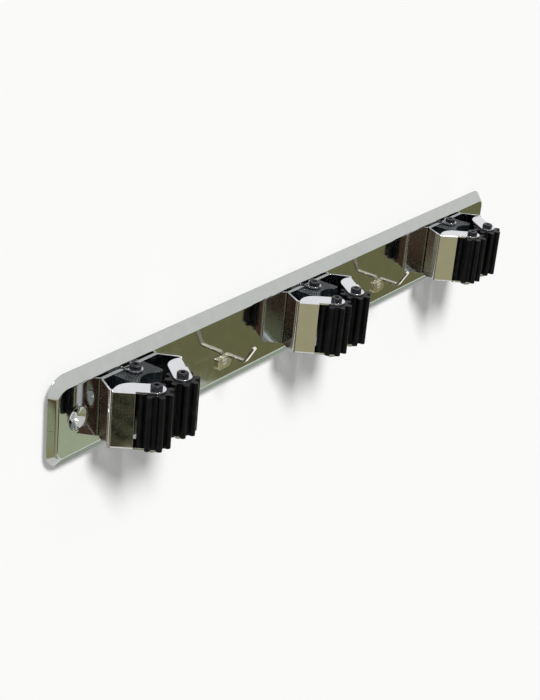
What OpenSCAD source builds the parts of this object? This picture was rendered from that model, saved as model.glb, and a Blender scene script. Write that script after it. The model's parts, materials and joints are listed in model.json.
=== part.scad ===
// Wall rack for mops and brooms: a pressed steel plate with three spring grips and two hooks.
// Millimetres, +Z up. The origin is the middle of the plate on the wall, and the wall fills +Y.

/* [Back plate] */
// Length of the plate over its rim
plate_length = 508; // [504:1:620]
// Height of the plate over its rim
plate_height = 59.5; // [58:0.5:70]
// Distance from the wall to the front of the plate
plate_depth = 5; // [4.75:0.25:9]
// Thickness of the plate's sheet
plate_sheet = 1.2; // [0.8:0.1:1.5]
// Outside radius of the bends round the plate's front
plate_bend_r = 3; // [2:0.25:3.5]
// How far the sloping top and bottom edges spread out from the front to the wall
edge_spread = 7.6; // [4:0.2:8.6]
// How far the sloping ends spread out from the front to the wall
end_spread = 3.6; // [2.6:0.2:5.6]
// Radius of the corners of the front
front_corner_r = 5.5; // [4:0.5:8]
// Radius of the corners of the rim
rim_corner_r = 12.5; // [9:0.5:15]

/* [Mounting holes] */
// Distance of a mounting hole from the plate's end
hole_inset = 20.5; // [18:0.5:23]
// Diameter of the mounting holes
hole_d = 5.5; // [4.5:0.25:6.5]
// Diameter of the pressed countersinks
sink_d = 14.5; // [12:0.5:16]
// Depth of the pressed countersinks
sink_depth = 3; // [2:0.25:3.25]

/* [Spring bands] */
// Distance from one grip's middle to the next
grip_pitch = 189; // [150:1:191]
// Height of a spring band
band_height = 38; // [32:1:44]
// Thickness of the band's sheet
band_sheet = 1.2; // [0.9:0.1:1.4]
// Outside radius of the band's bends
band_bend_r = 2.5; // [2:0.25:3]
// Outside radius of the folds that turn the ears and tabs in
ear_fold_r = 1.5; // [1.4:0.1:2]
// Width of the band's flat back
back_width = 51; // [48:1:54]
// Width of the band at its widest
wide_width = 66; // [64:1:70]
// Distance from the plate to where the band is widest
wide_reach = 13.3; // [12:0.1:14.5]
// Length of each front panel of the band
arm_length = 15; // [13:0.5:16]
// Radius of the round ends of the ears
ear_r = 5.75; // [5:0.25:6.25]
// Radius of the round ends of the rear tabs
tab_r = 4.75; // [4:0.25:6]
// Distance from the end of the band's bend to the start of an ear
ear_setback = 0.3; // [0.2:0.1:1.5]

/* [Rollers] */
// Distance between the axes of a grip's two rollers
roller_spacing = 24; // [23:0.5:26]
// Distance from the plate to the roller axes
roller_reach = 31; // [30:0.5:33]
// Diameter over the ribs
roller_d = 22; // [19:0.5:22.5]
// Diameter between the ribs
core_d = 15.6; // [12:0.2:17]
// Number of ribs round a roller
rib_count = 8; // [6:1:9]
// Width of a rib
rib_width = 3.8; // [3:0.2:4.4]
// Turn of the left rollers, in degrees
left_turn = 29; // [0:1:45]
// Turn of the right rollers, in degrees
right_turn = 37; // [0:1:45]
// Gap between a roller's end and the ear
roller_end_gap = 0.3; // [0.2:0.05:0.6]
// Outside diameter of the sleeve that a roller turns on
sleeve_d = 6; // [5.6:0.1:7]
// Gap all round between the sleeve and the roller
roller_fit = 0.05; // [0.02:0.01:0.1]

/* [Bolts] */
// Diameter of the bolts
bolt_d = 4; // [3.5:0.1:4.4]
// Diameter of a bolt's head
head_d = 7.4; // [6.8:0.1:7.8]
// Height of a bolt's head
head_h = 2.6; // [2.4:0.1:3.4]
// Chamfer round the top of a bolt's head
head_edge = 0.5; // [0.2:0.1:1]
// Width across the flats of the socket in the head
socket_af = 3; // [2.5:0.25:3.5]
// Depth of the socket in the head
socket_depth = 1.5; // [1:0.1:1.8]
// Width across the flats of a nut
nut_af = 7; // [6.6:0.1:7.6]
// Height of a nut
nut_h = 2.2; // [1.8:0.1:3.2]
// How far a bolt stops short of the nut's end
bolt_recess = 0.2; // [0:0.1:0.6]
// Gap all round a bolt in the holes that it passes
bolt_fit = 0.15; // [0.1:0.05:0.25]
// Distance from the plate to the rear bolt
rear_bolt_reach = 4.6; // [4.4:0.1:5.2]

/* [Cushions] */
// Width of a cushion
cushion_width = 27; // [25:0.5:30]
// Distance from the plate to the cushion's front edges
cushion_reach = 16; // [15:0.5:17]
// Radius of the hollow that the handle lies in
saddle_r = 12; // [10:0.5:13]
// Distance from the plate to the bottom of the hollow
saddle_reach = 12; // [10.5:0.25:13]
// Radius of the cushion's front corners
cushion_corner_r = 2; // [1:0.25:3]
// Gap between a cushion's ends and the tabs
cushion_end_gap = 0.6; // [0.3:0.1:0.9]

/* [Hooks] */
// Thickness of the hook's sheet
hook_sheet = 1.8; // [1.4:0.1:2.2]
// Width of the hook's foot
foot_width = 14; // [11:0.5:18]
// Height of the hook's foot
foot_height = 11.2; // [10:0.1:13]
// Radius of the foot's lower corners
foot_corner_r = 3; // [1:0.25:4.5]
// Width of the hook's tongue
tongue_width = 3; // [2.5:0.25:7]
// Height of the tongue's upper side above the middle of the plate
tongue_z = -2.7; // [-5:0.1:0]
// Distance from the plate to where the tongue would turn up
tongue_reach = 17.5; // [15:0.5:22]
// Length of the tongue past that turn
tip_length = 13.5; // [10:0.5:16]
// Angle by which the tip turns up, in degrees
tip_angle = 60; // [40:1:75]
// Radius of the hook's bends, to the middle of the sheet
hook_bend_r = 2.4; // [2.2:0.1:3.5]
// Diameter of the rivet through the foot
rivet_d = 3.2; // [2.4:0.1:4]
// Diameter of the rivet's head and tail
rivet_head_d = 5.4; // [4.8:0.1:6.5]
// Height of the rivet's head and tail
rivet_head_h = 1.1; // [0.8:0.1:1.5]
// Height of the rivet above the foot's lower edge
rivet_rise = 5; // [4:0.25:6]
// Gap all round the rivet in its holes
rivet_fit = 0.05; // [0.02:0.01:0.1]

/* [Hidden] */
$fn = 96;
// Added to cutters so that they pass through what they cut
past = 1;
// Overlap that joins the ears and the folded panels of a band to the sheet beside them
lap = 0.05;
// Angle between the flats that a bend is made of
bend_step = 5;
// The same for the bends round the plate, and how thick the slices are that shape them
plate_bend_step = 9;
slice_depth = 0.01;
GRIPS = ["left", "middle", "right"];
GRIP_PIECES = ["band", "cushion", "left_roller", "right_roller", "left_sleeve", "right_sleeve",
    "left_bolt", "right_bolt", "rear_bolt", "nuts"];

steel = [0.72, 0.72, 0.66];
bright_steel = [0.82, 0.82, 0.80];
black_steel = [0.12, 0.12, 0.13];
black_rubber = [0.06, 0.06, 0.07];
grey_rubber = [0.16, 0.17, 0.18];

hole_x = plate_length / 2 - hole_inset;
hook_x = grip_pitch / 2;
foot_z = tongue_z - hook_bend_r - hook_sheet / 2;
rivet_z = tongue_z - foot_height + rivet_rise;
rivet_stack = hook_sheet + plate_sheet;

half_band = band_height / 2;
// Clear height between a band's upper and lower ears
ear_gap = band_height - 2 * band_sheet;
roller_height = ear_gap - 2 * roller_end_gap;
cushion_height = ear_gap - 2 * cushion_end_gap;
bolt_length = band_height + nut_h - bolt_recess;
roller_at = [roller_spacing / 2, roller_reach];
rear_bolt_at = [0, rear_bolt_reach];

// The band's front panels lie on the line from its widest place that touches the ears' round ends
wide_at = [wide_width / 2, wide_reach];
to_roller = roller_at - wide_at;
arm_angle = atan2(to_roller[1], to_roller[0]) - asin(ear_r / norm(to_roller));
// Distance along a front panel's line to the point beside the roller axis
ear_reach = sqrt(pow(norm(to_roller), 2) - pow(ear_r, 2));
// Where the ear folds start along a front panel, past the bend, and where the ears themselves do
wide_turn = arm_angle - atan2(wide_reach, wide_at[0] - back_width / 2);
fold_start = band_bend_r * tan(wide_turn / 2);
ear_start = fold_start + ear_setback;
// The plain side of the band in plan, from the rear tab to the front panel's fold
side_path = [[tab_r, 0], [back_width / 2, 0], wide_at, wide_at + (fold_start + lap) * unit(arm_angle)];

// Turn at point i of a path in degrees, positive to the left
function turn(path, i) =
    let (a = path[i] - path[i - 1], b = path[i + 1] - path[i])
    atan2(cross(a, b), a * b);

// Direction in degrees of the stretch that ends at point i
function heading(path, i) =
    let (a = path[i] - path[i - 1])
    atan2(a[1], a[0]);

function unit(angle) = [cos(angle), sin(angle)];

// Points of the bend at point i of a path, at an offset to the path's left. The bend has
// radius r along the path itself.
function bend_points(path, i, offset, r) =
    let (
        angle = turn(path, i),
        side = sign(angle),
        start = heading(path, i) - 90 * side,
        center = path[i] - r * tan(abs(angle) / 2) * unit(heading(path, i)) - r * unit(start),
        steps = ceil(abs(angle) / bend_step)
    )
    [for (k = [0 : steps]) center + (r - side * offset) * unit(start + angle * k / steps)];

// Points along a path at an offset to its left
function offset_points(path, offset, r) =
    let (last = len(path) - 1)
    concat(
        [path[0] + offset * unit(heading(path, 1) + 90)],
        [for (i = [1 : last - 1]) each bend_points(path, i, offset, r)],
        [path[last] + offset * unit(heading(path, last) + 90)]
    );

function reversed(points) = [for (i = [len(points) - 1 : -1 : 0]) points[i]];

// Outline of a sheet bent along a path. It lies between the offsets low and high to the path's
// left, and r is the bend radius along the path itself.
module bent_sheet(path, low, high, r) {
    polygon(concat(offset_points(path, low, r), reversed(offset_points(path, high, r))));
}

// Cutter that rounds a square corner at the origin whose sides run along +X and +Y
module corner_round(r) {
    difference() {
        translate([-past, -past])
            square(r + past);
        translate([r, r])
            circle(r = r);
    }
}

// A grip's own frame: +Y points away from the plate and z = 0 is the middle of the plate
module on_plate(x) {
    translate([x, -plate_depth, 0])
        mirror([0, 1, 0])
        children();
}

// Places a child at both ends, above and below or left and right of the middle
module both(direction) {
    children();
    mirror(direction)
        children();
}

// How far the plate's edge lies beyond the line where its front and its slope would meet, at a
// depth behind the front. The slope spreads out by spread, and r is the bend's radius.
function edge_out(depth, spread, r) =
    let (
        slope = atan2(plate_depth, spread),
        turned = acos(max(-1, min(1, (plate_bend_r - depth) / r))),
        past_bend = depth - plate_bend_r + r * cos(slope)
    )
    r * sin(min(turned, slope)) - plate_bend_r * tan(slope / 2) + max(0, past_bend) / tan(slope);

// Slice of the plate's solid shape at a depth behind the front, with round corners
module tray_slice(depth, r) {
    rise = edge_out(depth, edge_spread, r);
    corner_r = front_corner_r + (rim_corner_r - front_corner_r) * rise / edge_spread;
    corner_x = plate_length / 2 - end_spread + edge_out(depth, end_spread, r) - corner_r;
    corner_z = plate_height / 2 - edge_spread + rise - corner_r;
    for (x = [-corner_x, corner_x], z = [-corner_z, corner_z])
        translate([x, 0, z])
        rotate([-90, 0, 0])
        cylinder(r = corner_r, h = slice_depth, $fn = 32);
}

// Solid shape of the plate between its front and a depth, with its bends at radius r
module tray(r, back) {
    steepest = atan2(plate_depth, end_spread);
    steps = ceil(steepest / plate_bend_step);
    hull() {
        for (k = [0 : steps]) {
            depth = plate_bend_r - r * cos(steepest * k / steps);
            translate([0, depth - plate_depth, 0])
                tray_slice(depth, r);
        }
        translate([0, back - slice_depth - plate_depth, 0])
            tray_slice(back, r);
    }
}

// Cone of a countersink with its wide end at the front of the plate, grown by the given wall
module sink_cone(wall) {
    rotate([-90, 0, 0])
        cylinder(h = sink_depth + wall, r1 = sink_d / 2 + wall, r2 = hole_d / 2 + wall);
}

module back_plate() {
    color(steel)
        difference() {
            union() {
                difference() {
                    tray(plate_bend_r, plate_depth);
                    tray(plate_bend_r - plate_sheet, plate_depth + past);
                }
                both([1, 0, 0])
                    translate([hole_x, -plate_depth, 0])
                    sink_cone(plate_sheet);
            }
            both([1, 0, 0])
                translate([hole_x, -plate_depth, 0]) {
                    sink_cone(0);
                    rotate([90, 0, 0])
                        cylinder(d = hole_d, h = 2 * plate_depth, center = true);
                }
            both([1, 0, 0])
                translate([hook_x, -plate_depth, rivet_z])
                rotate([90, 0, 0])
                cylinder(r = rivet_d / 2 + rivet_fit, h = 2 * plate_depth, center = true);
        }
}

// Side view of the hook's tongue, with the distance from the plate along +X and height along +Y
module tongue_profile() {
    middle = hook_sheet / 2;
    turn_at = [tongue_reach, tongue_z - middle];
    bent_sheet(
        [
            [middle, foot_z - past],
            [middle, tongue_z - middle],
            turn_at,
            turn_at + tip_length * [cos(tip_angle), sin(tip_angle)]
        ],
        -middle, middle, hook_bend_r
    );
}

// Front view of the hook's foot, with its lower edge at y = 0
module foot_outline() {
    height = foot_z - tongue_z + foot_height;
    difference() {
        translate([-foot_width / 2, 0])
            square([foot_width, height]);
        both([1, 0])
            translate([-foot_width / 2, 0])
            corner_round(foot_corner_r);
        translate([0, rivet_rise])
            circle(r = rivet_d / 2 + rivet_fit);
    }
}

module hook() {
    color(bright_steel) {
        rotate([90, 0, 90])
            linear_extrude(tongue_width, center = true)
            tongue_profile();
        translate([0, hook_sheet, tongue_z - foot_height])
            rotate([90, 0, 0])
            linear_extrude(hook_sheet)
            foot_outline();
    }
}

// Rivet along +Y, with its domed head on the hook and its tail behind the plate
module hook_rivet() {
    dome_r = (pow(rivet_head_d / 2, 2) + pow(rivet_head_h, 2)) / (2 * rivet_head_h);
    color(bright_steel)
        translate([0, 0, rivet_z]) {
            rotate([90, 0, 0]) {
                translate([0, 0, -hook_sheet])
                    cylinder(d = rivet_d, h = rivet_stack);
                translate([0, 0, plate_sheet])
                    cylinder(d = rivet_head_d, h = rivet_head_h);
            }
            translate([0, hook_sheet, 0])
                intersection() {
                    translate([0, rivet_head_h - dome_r, 0])
                        sphere(r = dome_r);
                    rotate([-90, 0, 0])
                        cylinder(d = rivet_head_d, h = rivet_head_h);
                }
        }
}

module hook_rivets() {
    for (side = [-1, 1])
        on_plate(side * hook_x)
            hook_rivet();
}

// The frame of the right front panel: +X runs along it to the roller and +Y points into the grip
module along_arm() {
    translate(wide_at)
        rotate(arm_angle)
        children();
}

// Plan of the right ear inside its fold, from its round root to its round end at the bolt
module ear_outline() {
    ear_width = 2 * ear_r;
    root = ear_start + ear_width;
    along_arm()
        difference() {
            union() {
                intersection() {
                    translate([root, 0])
                        circle(r = ear_width);
                    square([root, ear_width]);
                }
                translate([root, 0])
                    square([ear_reach - root, ear_width]);
                translate([ear_reach, ear_r])
                    circle(r = ear_r);
            }
            square([arm_length, ear_fold_r]);
        }
}

// Plan of the rear tab inside its fold
module tab_outline() {
    intersection() {
        union() {
            translate([-tab_r, 0])
                square([2 * tab_r, rear_bolt_reach]);
            translate(rear_bolt_at)
                circle(r = tab_r);
        }
        translate([-tab_r, ear_fold_r])
            square(rear_bolt_reach + tab_r);
    }
}

// Upright panel along +X with its outside at y = 0, and with the folds above and below it
module folded_panel(length) {
    fold_end = ear_fold_r + lap;
    rotate([90, 0, 90])
        linear_extrude(length)
        bent_sheet(
            [[fold_end, half_band], [0, half_band], [0, -half_band], [fold_end, -half_band]],
            0, band_sheet, ear_fold_r
        );
}

module grip_band() {
    color(steel)
        difference() {
            union() {
                linear_extrude(band_height, center = true)
                    both([1, 0])
                    bent_sheet(side_path, 0, band_sheet, band_bend_r);
                both([1, 0, 0])
                    along_arm()
                    translate([fold_start, lap, 0])
                    folded_panel(arm_length - fold_start);
                translate([-tab_r, 0, 0])
                    folded_panel(2 * tab_r);
                both([0, 0, 1])
                    translate([0, 0, half_band - band_sheet])
                    linear_extrude(band_sheet) {
                        both([1, 0])
                            ear_outline();
                        tab_outline();
                    }
            }
            for (at = [roller_at, [-roller_at[0], roller_at[1]], rear_bolt_at])
                translate(at)
                    cylinder(r = bolt_d / 2 + bolt_fit, h = 2 * band_height, center = true);
        }
}

module grip_cushion() {
    width = cushion_width / 2;
    color(grey_rubber)
        linear_extrude(cushion_height, center = true)
        difference() {
            translate([-width, band_sheet])
                square([cushion_width, cushion_reach - band_sheet]);
            both([1, 0])
                translate([width, cushion_reach])
                rotate(180)
                corner_round(cushion_corner_r);
            translate([0, saddle_reach + saddle_r])
                circle(r = saddle_r);
            translate(rear_bolt_at)
                circle(r = bolt_d / 2 + bolt_fit);
        }
}

// Ribbed roller on its own axis. The ribs have round tips.
module roller(angle) {
    color(black_rubber)
        rotate(angle)
        linear_extrude(roller_height, center = true)
        difference() {
            union() {
                circle(d = core_d);
                for (i = [0 : rib_count - 1])
                    rotate(i * 360 / rib_count) {
                        translate([0, -rib_width / 2])
                            square([(roller_d - rib_width) / 2, rib_width]);
                        translate([(roller_d - rib_width) / 2, 0])
                            circle(d = rib_width);
                    }
            }
            circle(r = sleeve_d / 2 + roller_fit);
        }
}

module sleeve() {
    color(bright_steel)
        difference() {
            cylinder(d = sleeve_d, h = ear_gap, center = true);
            cylinder(r = bolt_d / 2 + bolt_fit, h = ear_gap + 2 * past, center = true);
        }
}

// Bolt hanging from its head, which stands on the ear or tab
module bolt() {
    color(black_steel)
        translate([0, 0, half_band])
        difference() {
            union() {
                cylinder(d = head_d, h = head_h - head_edge);
                translate([0, 0, head_h - head_edge])
                    cylinder(d1 = head_d, d2 = head_d - 2 * head_edge, h = head_edge);
                translate([0, 0, -bolt_length])
                    cylinder(d = bolt_d, h = bolt_length);
            }
            translate([0, 0, head_h - socket_depth])
                cylinder(d = socket_af / cos(30), h = socket_depth + past, $fn = 6);
        }
}

// Thin nut under the lower ear or tab
module nut() {
    color(bright_steel)
        translate([0, 0, -half_band - nut_h])
        difference() {
            rotate(30)
                cylinder(d = nut_af / cos(30), h = nut_h, $fn = 6);
            translate([0, 0, -past])
                cylinder(r = bolt_d / 2 + bolt_fit, h = nut_h + 2 * past);
        }
}

module grip_nuts() {
    for (at = [roller_at, [-roller_at[0], roller_at[1]], rear_bolt_at])
        translate(at)
            nut();
}

// One of a grip's pieces by its name
module grip_piece(piece) {
    right_at = roller_at;
    left_at = [-roller_at[0], roller_at[1]];
    if (piece == "band") grip_band();
    if (piece == "cushion") grip_cushion();
    if (piece == "left_roller") translate(left_at) roller(left_turn);
    if (piece == "right_roller") translate(right_at) roller(right_turn);
    if (piece == "left_sleeve") translate(left_at) sleeve();
    if (piece == "right_sleeve") translate(right_at) sleeve();
    if (piece == "left_bolt") translate(left_at) bolt();
    if (piece == "right_bolt") translate(right_at) bolt();
    if (piece == "rear_bolt") translate(rear_bolt_at) bolt();
    if (piece == "nuts") grip_nuts();
}

back_plate();
on_plate(-hook_x) hook();  // left_hook
on_plate(hook_x) hook();  // right_hook
hook_rivets();
for (i = [0 : len(GRIPS) - 1])
    for (piece = GRIP_PIECES)
        on_plate((i - 1) * grip_pitch) grip_piece(piece);
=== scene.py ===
import json
import math

import bpy
from mathutils import Matrix, Vector


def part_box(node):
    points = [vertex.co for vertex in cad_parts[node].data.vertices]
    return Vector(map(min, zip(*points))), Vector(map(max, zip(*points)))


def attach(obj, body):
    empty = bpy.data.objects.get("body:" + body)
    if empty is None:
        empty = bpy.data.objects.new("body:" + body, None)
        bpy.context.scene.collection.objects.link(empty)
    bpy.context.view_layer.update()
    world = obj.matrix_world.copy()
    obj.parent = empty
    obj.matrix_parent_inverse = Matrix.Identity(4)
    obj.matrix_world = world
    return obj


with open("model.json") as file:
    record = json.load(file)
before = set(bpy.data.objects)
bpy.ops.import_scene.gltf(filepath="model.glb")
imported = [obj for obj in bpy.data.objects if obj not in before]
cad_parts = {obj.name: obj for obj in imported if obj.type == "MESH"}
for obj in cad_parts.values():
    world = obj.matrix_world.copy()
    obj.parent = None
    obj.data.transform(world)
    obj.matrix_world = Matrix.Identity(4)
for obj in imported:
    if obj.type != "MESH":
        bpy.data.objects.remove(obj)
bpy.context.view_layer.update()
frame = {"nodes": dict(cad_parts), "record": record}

MM = 0.001
GRIPS = ("left_grip", "middle_grip", "right_grip")
SIDES = ("left", "right")

# View of the rack

CAMERA_PLACE = Vector((-819.1, -522.3, 411.6)) * MM
CAMERA_TURN = 56.437        # degrees, from straight at the wall towards its right
CAMERA_TILT = 24.725        # degrees, looking down
CAMERA_ROLL = -5.526        # degrees
CAMERA_LENS = 77.88         # mm on a 36 mm sensor
CAMERA_SHIFT = (-0.0010, -0.0003)


def place_camera():
    turn, tilt, roll = (math.radians(a) for a in (CAMERA_TURN, CAMERA_TILT, CAMERA_ROLL))
    look = Vector((math.sin(turn) * math.cos(tilt), math.cos(turn) * math.cos(tilt), -math.sin(tilt)))
    level = Vector((math.cos(turn), -math.sin(turn), 0))
    down = look.cross(level)
    right = math.cos(roll) * level + math.sin(roll) * down
    low = -math.sin(roll) * level + math.cos(roll) * down
    data = bpy.data.cameras.new("photo_view")
    data.lens = CAMERA_LENS
    data.shift_x, data.shift_y = CAMERA_SHIFT
    data.clip_start, data.clip_end = 0.02, 30
    camera = bpy.data.objects.new("photo_view", data)
    camera.matrix_world = Matrix((
        (right.x, -low.x, -look.x, CAMERA_PLACE.x),
        (right.y, -low.y, -look.y, CAMERA_PLACE.y),
        (right.z, -low.z, -look.z, CAMERA_PLACE.z),
        (0, 0, 0, 1)))
    bpy.context.scene.collection.objects.link(camera)
    bpy.context.scene.camera = camera


# Finishes

def paint(code):
    """An sRGB hex colour as linear red, green, blue and alpha."""
    parts = [int(code[i:i + 2], 16) / 255 for i in (0, 2, 4)]
    return tuple(c / 12.92 if c <= 0.04045 else ((c + 0.055) / 1.055) ** 2.4 for c in parts) + (1.0,)


def add(finish, kind, values=None, links=None):
    """Adds a node: lower-case names are its settings, the others its sockets, and links join sockets."""
    made = finish.node_tree.nodes.new("ShaderNode" + kind)
    for name, value in (values or {}).items():
        if isinstance(name, str) and name.islower():
            setattr(made, name, value)
        else:
            made.inputs[name].default_value = value
    for name, source in (links or {}).items():
        finish.node_tree.links.new(source, made.inputs[name])
    return made


def new_finish(name):
    finish = bpy.data.materials.new(name)
    finish.use_nodes = True
    finish.node_tree.nodes.clear()
    return finish


def per_mm(size):
    """Noise scale whose spots are about this many mm across, on coordinates in metres."""
    return 1 / (size * MM)


SPOT_ROUGHNESS = 0.6        # strength of each finer layer of noise, as a share of the one before
EDGE_SAMPLES = 6


ROLLING_WAVE = 45           # mm, waves left by the sheet mill's rolls
BUFFED_PATCH = 9            # mm, softer patches from the buffing wheel
HAIRLINE = 0.35             # mm between buffing lines, drawn coarser than they are so that they show
SCRATCH = 2.2               # mm across the noise that places the handling scratches
STEEL_EDGE = 0.25           # mm, radius of a deburred sheet edge


def polished_stainless(name, bright, dull, mirror, haze, scratched):
    """Stainless steel sheet, buffed to a mirror: clear reflections that the buffing wheel left
    softer in patches, level hairlines, a few handling scratches and faint rolling waves."""
    finish = new_finish(name)
    place = add(finish, "TexCoord").outputs["Object"]
    waves = add(finish, "TexNoise", {"Scale": per_mm(ROLLING_WAVE), "Detail": 1.0}, {"Vector": place})
    clouds = add(finish, "TexNoise",
                 {"Scale": per_mm(BUFFED_PATCH), "Detail": 4.0, "Roughness": SPOT_ROUGHNESS},
                 {"Vector": place})
    stretched = add(finish, "Mapping", {"Scale": (0.02, 0.02, 1.0)}, {"Vector": place})
    hairlines = add(finish, "TexNoise", {"Scale": per_mm(HAIRLINE), "Detail": 2.0},
                    {"Vector": stretched.outputs["Vector"]})
    slanted = add(finish, "Mapping", {"Rotation": (0.0, 0.5, 0.0), "Scale": (0.05, 0.05, 1.0)},
                  {"Vector": place})
    marks = add(finish, "TexNoise", {"Scale": per_mm(SCRATCH), "Detail": 3.0},
                {"Vector": slanted.outputs["Vector"]})
    scratches = add(finish, "MapRange", {"From Min": 0.66, "From Max": 0.72},
                    {"Value": marks.outputs["Fac"]})
    tone = add(finish, "Mix", {"data_type": "RGBA", 6: paint(dull), 7: paint(bright)},
               {0: clouds.outputs["Fac"]})
    gloss = add(finish, "MapRange", {"From Min": 0.35, "From Max": 0.7, "To Min": mirror, "To Max": haze},
                {"Value": clouds.outputs["Fac"]})
    worn = add(finish, "Math", {"operation": "MULTIPLY_ADD", 1: scratched},
               {0: scratches.outputs["Result"], 2: gloss.outputs["Result"]})
    low_bump = add(finish, "Bump", {"Strength": 0.35, "Distance": 0.05 * MM},
                   {"Height": waves.outputs["Fac"]})
    fine_bump = add(finish, "Bump", {"Strength": 0.02, "Distance": 0.02 * MM},
                    {"Height": hairlines.outputs["Fac"], "Normal": low_bump.outputs["Normal"]})
    edges = add(finish, "Bevel", {"samples": EDGE_SAMPLES, "Radius": STEEL_EDGE * MM},
                {"Normal": fine_bump.outputs["Normal"]})
    shader = add(finish, "BsdfPrincipled", {"Metallic": 1.0},
                 {"Base Color": tone.outputs[2], "Roughness": worn.outputs["Value"],
                  "Normal": edges.outputs["Normal"]})
    add(finish, "OutputMaterial", links={"Surface": shader.outputs[0]})
    return finish


TOOL_MARK = 0.5             # mm between tool marks, drawn coarser than they are so that they show
TARNISH = 4                 # mm, paler and darker patches


def turned_steel(name):
    """Plain zinc-bright steel of sleeves, nuts and rivets: satin, with a grain of tool marks."""
    finish = new_finish(name)
    place = add(finish, "TexCoord").outputs["Object"]
    marks = add(finish, "TexNoise", {"Scale": per_mm(TOOL_MARK), "Detail": 3.0}, {"Vector": place})
    clouds = add(finish, "TexNoise", {"Scale": per_mm(TARNISH), "Detail": 3.0}, {"Vector": place})
    tone = add(finish, "Mix", {"data_type": "RGBA", 6: paint("8d8c86"), 7: paint("c4c3bd")},
               {0: clouds.outputs["Fac"]})
    gloss = add(finish, "MapRange", {"To Min": 0.22, "To Max": 0.42}, {"Value": marks.outputs["Fac"]})
    bump = add(finish, "Bump", {"Strength": 0.15, "Distance": 0.03 * MM}, {"Height": marks.outputs["Fac"]})
    shader = add(finish, "BsdfPrincipled", {"Metallic": 1.0},
                 {"Base Color": tone.outputs[2], "Roughness": gloss.outputs["Result"],
                  "Normal": bump.outputs["Normal"]})
    add(finish, "OutputMaterial", links={"Surface": shader.outputs[0]})
    return finish


KNURLS = 44                 # grooves round a bolt's head, 0.5 mm apart
HEAD_FROM = 0.93            # share of a bolt's length, just below where its head begins
OXIDE_GRAIN = 0.4           # mm, drawn coarser than it is so that it shows
OXIDE_WEAR = 2.5            # mm, spots rubbed paler
BOLT_EDGE = 0.2             # mm, radius of the bolts' edges


def black_oxide(name):
    """Socket screws of black oxidised steel: near black and oily, with a grooved grip round the
    head, and rubbed paler in small spots."""
    finish = new_finish(name)
    coords = add(finish, "TexCoord")
    place = coords.outputs["Object"]
    centred = add(finish, "Mapping", {"Location": (-0.5, -0.5, 0.0)},
                  {"Vector": coords.outputs["Generated"]})
    around = add(finish, "TexGradient", {"gradient_type": "RADIAL"}, {"Vector": centred.outputs["Vector"]})
    turns = add(finish, "Math", {"operation": "MULTIPLY", 1: KNURLS * math.tau},
                {0: around.outputs["Fac"]})
    grooves = add(finish, "Math", {"operation": "SINE"}, {0: turns.outputs["Value"]})
    height = add(finish, "SeparateXYZ", links={"Vector": coords.outputs["Generated"]})
    on_head = add(finish, "Math", {"operation": "GREATER_THAN", 1: HEAD_FROM}, {0: height.outputs["Z"]})
    facing = add(finish, "SeparateXYZ", links={"Vector": add(finish, "NewGeometry").outputs["True Normal"]})
    on_side = add(finish, "Math", {"operation": "LESS_THAN", 1: 0.3}, {0: facing.outputs["Z"]})
    where = add(finish, "Math", {"operation": "MULTIPLY"},
                {0: on_head.outputs["Value"], 1: on_side.outputs["Value"]})
    knurl = add(finish, "Math", {"operation": "MULTIPLY"},
                {0: grooves.outputs["Value"], 1: where.outputs["Value"]})
    grain = add(finish, "TexNoise", {"Scale": per_mm(OXIDE_GRAIN), "Detail": 3.0}, {"Vector": place})
    clouds = add(finish, "TexNoise", {"Scale": per_mm(OXIDE_WEAR), "Detail": 4.0}, {"Vector": place})
    worn = add(finish, "MapRange", {"From Min": 0.58, "From Max": 0.7}, {"Value": clouds.outputs["Fac"]})
    tone = add(finish, "Mix", {"data_type": "RGBA", 6: paint("1b1c20"), 7: paint("4d4f54")},
               {0: worn.outputs["Result"]})
    gloss = add(finish, "MapRange", {"To Min": 0.22, "To Max": 0.42}, {"Value": clouds.outputs["Fac"]})
    deep = add(finish, "Bump", {"Strength": 0.6, "Distance": 0.12 * MM}, {"Height": knurl.outputs["Value"]})
    bump = add(finish, "Bump", {"Strength": 0.2, "Distance": 0.03 * MM},
               {"Height": grain.outputs["Fac"], "Normal": deep.outputs["Normal"]})
    edges = add(finish, "Bevel", {"samples": EDGE_SAMPLES, "Radius": BOLT_EDGE * MM},
                {"Normal": bump.outputs["Normal"]})
    shader = add(finish, "BsdfPrincipled", {"Metallic": 0.75},
                 {"Base Color": tone.outputs[2], "Roughness": gloss.outputs["Result"],
                  "Normal": edges.outputs["Normal"]})
    add(finish, "OutputMaterial", links={"Surface": shader.outputs[0]})
    return finish


CUSHION_SIZE = (27.0, 14.8)     # mm, across and from front to back
HOLLOW_AHEAD = 8.0              # mm from the cushion's front to the middle of its hollow
RING_PITCH = 1.7                # mm between the ridges that follow the hollow


def hollow_ridges(finish):
    """Height of the low ridges on a cushion's top, which run round the hollow for the handle."""
    across, along = CUSHION_SIZE
    coords = add(finish, "TexCoord").outputs["Generated"]
    middle = (-across / 2, HOLLOW_AHEAD, 0.0)
    centred = add(finish, "Mapping", {"Scale": (across, along, 0.0), "Location": middle}, {"Vector": coords})
    radius = add(finish, "VectorMath", {"operation": "LENGTH"}, {0: centred.outputs["Vector"]})
    phase = add(finish, "Math", {"operation": "MULTIPLY", 1: math.tau / RING_PITCH},
                {0: radius.outputs["Value"]})
    wave = add(finish, "Math", {"operation": "SINE"}, {0: phase.outputs["Value"]})
    facing = add(finish, "SeparateXYZ", links={"Vector": add(finish, "NewGeometry").outputs["True Normal"]})
    on_top = add(finish, "Math", {"operation": "GREATER_THAN", 1: 0.5}, {0: facing.outputs["Z"]})
    return add(finish, "Math", {"operation": "MULTIPLY"},
               {0: wave.outputs["Value"], 1: on_top.outputs["Value"]})


MOULD_GRAIN = 0.6           # mm, drawn coarser than it is so that it shows
DUST_PATCH = 7              # mm, paler dusty patches
RUBBER_EDGE = 0.3           # mm, radius of the moulded edges


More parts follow.
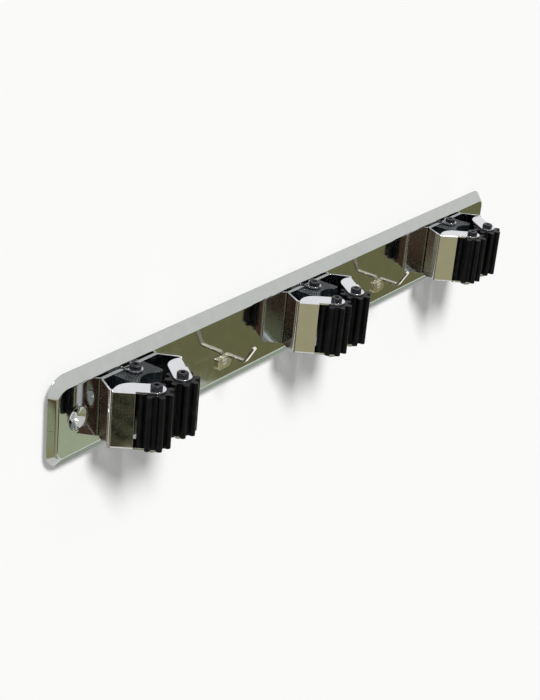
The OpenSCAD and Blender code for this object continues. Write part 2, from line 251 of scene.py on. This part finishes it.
def moulded_rubber(name, dark, light, smooth, worn, sheen, ridged=False):
    """Moulded rubber: deep black with a slight sheen, a fine grain from the mould, and
    paler dusty patches."""
    finish = new_finish(name)
    place = add(finish, "TexCoord").outputs["Object"]
    grain = add(finish, "TexNoise",
                {"Scale": per_mm(MOULD_GRAIN), "Detail": 4.0, "Roughness": SPOT_ROUGHNESS},
                {"Vector": place})
    clouds = add(finish, "TexNoise",
                 {"Scale": per_mm(DUST_PATCH), "Detail": 4.0, "Roughness": SPOT_ROUGHNESS},
                 {"Vector": place})
    dust = add(finish, "MapRange", {"From Min": 0.5, "From Max": 0.8}, {"Value": clouds.outputs["Fac"]})
    tone = add(finish, "Mix", {"data_type": "RGBA", 6: paint(dark), 7: paint(light)},
               {0: dust.outputs["Result"]})
    gloss = add(finish, "MapRange", {"To Min": smooth, "To Max": worn}, {"Value": clouds.outputs["Fac"]})
    bump = add(finish, "Bump", {"Strength": 0.25, "Distance": 0.05 * MM}, {"Height": grain.outputs["Fac"]})
    if ridged:
        bump = add(finish, "Bump", {"Strength": 0.7, "Distance": 0.2 * MM},
                   {"Height": hollow_ridges(finish).outputs["Value"], "Normal": bump.outputs["Normal"]})
    edges = add(finish, "Bevel", {"samples": EDGE_SAMPLES, "Radius": RUBBER_EDGE * MM},
                {"Normal": bump.outputs["Normal"]})
    shader = add(finish, "BsdfPrincipled", {"IOR": 1.52, "Specular IOR Level": sheen},
                 {"Base Color": tone.outputs[2], "Roughness": gloss.outputs["Result"],
                  "Normal": edges.outputs["Normal"]})
    add(finish, "OutputMaterial", links={"Surface": shader.outputs[0]})
    return finish


# Smooth linings of the plate's countersinks

SCREW_HOLES = next(m for m in frame["record"]["mounts"] if m["name"] == "wall_screw_holes")["dims"]
HOLE_R = SCREW_HOLES["hole_r_mm"]
HOLE_X = SCREW_HOLES["spacing_x_mm"] * MM / 2
SINK_R = 7.25               # mm, radius of a pressed countersink at the front
SINK_DEPTH = 3.0            # mm
SHEET = 1.2                 # mm, thickness of the plate
SINK_LIP = 1.4              # mm, radius of the soft edge that the press leaves
LIP_STEPS = 8
SWELL = 1.6                 # mm, width of the faint swell round the lip
SWELL_STEPS = 6
LINING_LIFT = 0.1           # mm by which the lining stands proud of the solid
BORE_STEP = 0.02            # mm by which the lining narrows into the hole
TURNS = 96                  # steps round the hole


def sink_profile():
    """Radius and depth in mm along a countersink: a faint swell, the soft lip, the cone, the hole."""
    slope = math.atan2(SINK_DEPTH, SINK_R - HOLE_R)
    lip_from = SINK_R + SINK_LIP * math.tan(slope / 2)
    swell = [(lip_from + SWELL * (1 - k / SWELL_STEPS),
              -LINING_LIFT * (1 - math.cos(math.pi * k / SWELL_STEPS)) / 2)
             for k in range(SWELL_STEPS)]
    lip = [(lip_from - SINK_LIP * math.sin(slope * k / LIP_STEPS),
            SINK_LIP * (1 - math.cos(slope * k / LIP_STEPS)) - LINING_LIFT)
           for k in range(LIP_STEPS + 1)]
    throat = HOLE_R - LINING_LIFT
    through = [(throat - BORE_STEP, SINK_DEPTH), (throat - BORE_STEP, SINK_DEPTH + SHEET)]
    return swell + lip + [(throat, SINK_DEPTH - LINING_LIFT)] + through


def pressed_sink(name, x, finish):
    """Lining of one countersink, turned round the screw's axis at x."""
    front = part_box("back_plate")[0][1]
    profile = sink_profile()
    points = []
    for turn in range(TURNS):
        angle = math.tau * turn / TURNS
        points += [(x + r * MM * math.cos(angle), front + depth * MM, r * MM * math.sin(angle))
                   for r, depth in profile]
    rows = len(profile)
    faces = []
    for turn in range(TURNS):
        here, after = turn * rows, (turn + 1) % TURNS * rows
        faces += [(here + k, here + k + 1, after + k + 1, after + k) for k in range(rows - 1)]
    mesh = bpy.data.meshes.new(name)
    mesh.from_pydata(points, [], faces)
    mesh.materials.append(finish)
    for face in mesh.polygons:
        face.use_smooth = True
    lining = bpy.data.objects.new(name, mesh)
    bpy.context.scene.collection.objects.link(lining)
    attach(lining, "rack")


# Finish and shading of the solids

CREASE = 35                 # degrees, past which an edge stays sharp
PLATE_CREASE = 25           # degrees, less than a countersink's slope, so its rim stays crisp
WELD = 0.001 * MM           # distance under which points are one


def dress(node, finish, sharp=CREASE):
    """Gives a CAD node its finish and soft shading across its round faces."""
    piece = frame["nodes"][node]
    piece.data.materials.clear()
    piece.data.materials.append(finish)
    for face in piece.data.polygons:
        face.use_smooth = True
    piece.modifiers.new("joined_faces", "WELD").merge_threshold = WELD
    crease = piece.modifiers.new("creases", "EDGE_SPLIT")
    crease.use_edge_sharp = False
    crease.split_angle = math.radians(sharp)
    flat = piece.modifiers.new("flat_panels", "WEIGHTED_NORMAL")
    flat.mode = "FACE_AREA"
    flat.weight = 100


# Wall, floor and light

FLOOR_Z = -0.9              # m
WALL_Y = 0.005              # 5 mm behind the rim, for the soft dark line under the plate
WALL_TOP = 3.0              # m
ROOM = 4.0                  # m from the rack to each side and to the near edge of the floor


def flat_card(name, corners, finish):
    mesh = bpy.data.meshes.new(name)
    mesh.from_pydata([Vector(c) for c in corners], [], [(0, 1, 2, 3)])
    mesh.materials.append(finish)
    card = bpy.data.objects.new(name, mesh)
    bpy.context.scene.collection.objects.link(card)
    return card


def one_sided(name, colour):
    """Matt emulsion paint that is only there from its front, so the rack shows from behind too."""
    finish = new_finish(name)
    front = add(finish, "BsdfDiffuse", {"Color": paint(colour)})
    gone = add(finish, "BsdfTransparent")
    behind = add(finish, "NewGeometry").outputs["Backfacing"]
    mixed = add(finish, "MixShader", links={0: behind, 1: front.outputs[0], 2: gone.outputs[0]})
    add(finish, "OutputMaterial", links={"Surface": mixed.outputs[0]})
    return finish


def build_stage():
    """A white wall, which leaves the steel to mirror the white room, and a pale floor, which
    throws no light up into the shadows."""
    upright = [(-ROOM, WALL_Y, FLOOR_Z), (ROOM, WALL_Y, FLOOR_Z),
               (ROOM, WALL_Y, WALL_TOP), (-ROOM, WALL_Y, WALL_TOP)]
    level = [(-ROOM, -ROOM, FLOOR_Z), (ROOM, -ROOM, FLOOR_Z),
             (ROOM, WALL_Y, FLOOR_Z), (-ROOM, WALL_Y, FLOOR_Z)]
    wall = flat_card("studio_wall", upright, one_sided("matt_wall_paint", "fafaf9"))
    wall.visible_glossy = False
    floor = flat_card("studio_floor", level, one_sided("pale_floor", "d6d5d2"))
    floor.visible_diffuse = False


def mirrored_card(name, corners, colour, level):
    """A plain glowing card that shows only as a reflection."""
    finish = new_finish(name)
    glow = add(finish, "Emission", {"Color": paint(colour), "Strength": level})
    add(finish, "OutputMaterial", links={"Surface": glow.outputs[0]})
    card = flat_card(name, corners, finish)
    card.visible_camera = card.visible_diffuse = card.visible_shadow = False


LOW = 0.05                  # m over the floor, and each next lift covers the ones before it
RAISED = 0.1
PATCH_LIFT = 0.115
SLATS_LIFT = 0.12


def level_reflection_card(name, left, right, near, far, lift, colour, level):
    """A level glowing card in front of the rack, seen only in reflections: a painted reflection."""
    z = FLOOR_Z + lift
    corners = [(left, near, z), (right, near, z), (right, far, z), (left, far, z)]
    mirrored_card(name, corners, colour, level)


STRIP_Y = 0.003             # m, between the rim and the wall
STRIP_TOP = -0.036          # m, just under the plate
STRIP_FOOT = -0.075         # m


def painted_shade_strip(name, left, right, colour):
    """A glowing strip close under the rack, seen only in reflections, which the lower sloping edge mirrors:
    a painted reflection of the wall there in shade.
    """
    corners = [(left, STRIP_Y, STRIP_FOOT), (right, STRIP_Y, STRIP_FOOT),
               (right, STRIP_Y, STRIP_TOP), (left, STRIP_Y, STRIP_TOP)]
    mirrored_card(name, corners, colour, 1.0)


SLATS = 8
SLAT_LEFT = -1.56           # m
SLAT_RIGHT = -1.32          # m
SLATS_NEAR = -1.06          # m, near edge of the first slat
SLAT_PITCH = 0.036          # m
SLAT_WIDTH = 0.0335         # m


def build_reflections():
    """Painted reflections: glowing cards that show only in the steel. The plate's face mirrors the cards on
    the right, the bands and the plate's left end those on the left, and the plate's lower slope the two
    strips."""
    # olive, sage, brown, khaki and umber cards: painted reflections of coloured surroundings in the steel
    level_reflection_card("olive_card", 1.25, 3.6, -2.3, -0.5, LOW, "a3a174", 0.62)
    level_reflection_card("sage_card", 0.5, 1.24, -1.29, -0.5, LOW, "b9c2a6", 1.2)
    level_reflection_card("brown_card", 0.0, 1.24, -2.5, -1.3, LOW, "6b5140", 0.7)
    level_reflection_card("khaki_card", -2.5, -0.7, -2.7, -0.1, LOW, "b5b08a", 0.92)
    level_reflection_card("pale_sage_card", -0.69, -0.01, -2.7, -0.3, LOW, "b9c2a6", 1.0)
    level_reflection_card("umber_card", -2.4, -1.56, -0.72, -0.02, RAISED, "5e4335", 0.75)
    level_reflection_card("umber_strip", -2.0, -1.58, -1.45, -1.06, RAISED, "6b5544", 1.5)
    level_reflection_card("umber_patch", -2.0, -1.6, -1.06, -0.778, RAISED, "5e4335", 0.9)
    level_reflection_card("sage_patch", -1.67, -1.45, -0.777, -0.66, PATCH_LIFT, "b9c29c", 0.86)
    # sage and brown strips: painted shade of the wall under the plate, as the lower slope mirrors it
    painted_shade_strip("sage_strip", -0.235, 1.2, "a3ad9f")
    painted_shade_strip("brown_strip", -0.4, -0.236, "6b5140")
    # dark slats: a painted dark reflection in the bands' faces
    for slat in range(SLATS):
        near = SLATS_NEAR + slat * SLAT_PITCH
        level_reflection_card(f"dark_slat_{slat}", SLAT_LEFT, SLAT_RIGHT, near, near + SLAT_WIDTH, SLATS_LIFT,
                   "3b4230", 0.3)


ROOM_FILL = 0.38            # level of the room's light where it fills the shadows
KEY_LEVEL = 3.2
KEY_SPREAD = 16             # degrees, for soft shadow edges
KEY_HEADING = Vector((0.38, 0.82, -1.0))    # to the right, towards the wall and down


def build_light():
    """A high soft key from the left, in a white room that fills the shadows only a little."""
    world = bpy.data.worlds.new("studio_air")
    world.use_nodes = True
    path = add(world, "LightPath")
    seen = add(world, "Math", {"operation": "MAXIMUM"},
               {0: path.outputs["Is Camera Ray"], 1: path.outputs["Is Glossy Ray"]})
    shown = add(world, "Math", {"operation": "MAXIMUM"},
                {0: seen.outputs["Value"], 1: path.outputs["Is Transmission Ray"]})
    level = add(world, "MapRange", {"To Min": ROOM_FILL, "To Max": 1.0}, {"Value": shown.outputs["Value"]})
    air = world.node_tree.nodes["Background"]
    air.inputs["Color"].default_value = paint("ffffff")
    world.node_tree.links.new(level.outputs["Result"], air.inputs["Strength"])
    bpy.context.scene.world = world
    lamp = bpy.data.lights.new("soft_key", "SUN")
    lamp.energy = KEY_LEVEL
    lamp.angle = math.radians(KEY_SPREAD)
    key = bpy.data.objects.new("soft_key", lamp)
    key.rotation_mode = "QUATERNION"
    key.rotation_quaternion = KEY_HEADING.to_track_quat("-Z", "Y")
    bpy.context.scene.collection.objects.link(key)


# The rack

place_camera()
build_stage()
build_reflections()
build_light()

plate_steel = polished_stainless("buffed_plate_steel", "bfc2bf", "b0b3b0", 0.04, 0.10, 0.08)
band_steel = polished_stainless("buffed_band_steel", "dcdce0", "d0d1d5", 0.04, 0.09, 0.06)
hook_steel = polished_stainless("buffed_hook_steel", "ece7d8", "ddd8c8", 0.12, 0.22, 0.1)
plain_steel = turned_steel("turned_steel")
screw_black = black_oxide("black_oxide_steel")
roller_rubber = moulded_rubber("ribbed_roller_rubber", "050507", "101115", 0.26, 0.46, 0.13)
cushion_rubber = moulded_rubber("cushion_rubber", "12171a", "2b3437", 0.16, 0.3, 0.45, ridged=True)

dress("back_plate", plate_steel, PLATE_CREASE)
pressed_sink("left_countersink", -HOLE_X, plate_steel)
pressed_sink("right_countersink", HOLE_X, plate_steel)
dress("left_hook", hook_steel)
dress("right_hook", hook_steel)
dress("hook_rivets", plain_steel)
for grip in GRIPS:
    dress(grip + "_band", band_steel)
    dress(grip + "_cushion", cushion_rubber)
    dress(grip + "_nuts", plain_steel)
    dress(grip + "_rear_bolt", screw_black)
    for side in SIDES:
        dress(f"{grip}_{side}_roller", roller_rubber)
        dress(f"{grip}_{side}_sleeve", plain_steel)
        dress(f"{grip}_{side}_bolt", screw_black)

bpy.context.scene.view_settings.view_transform = "Standard"
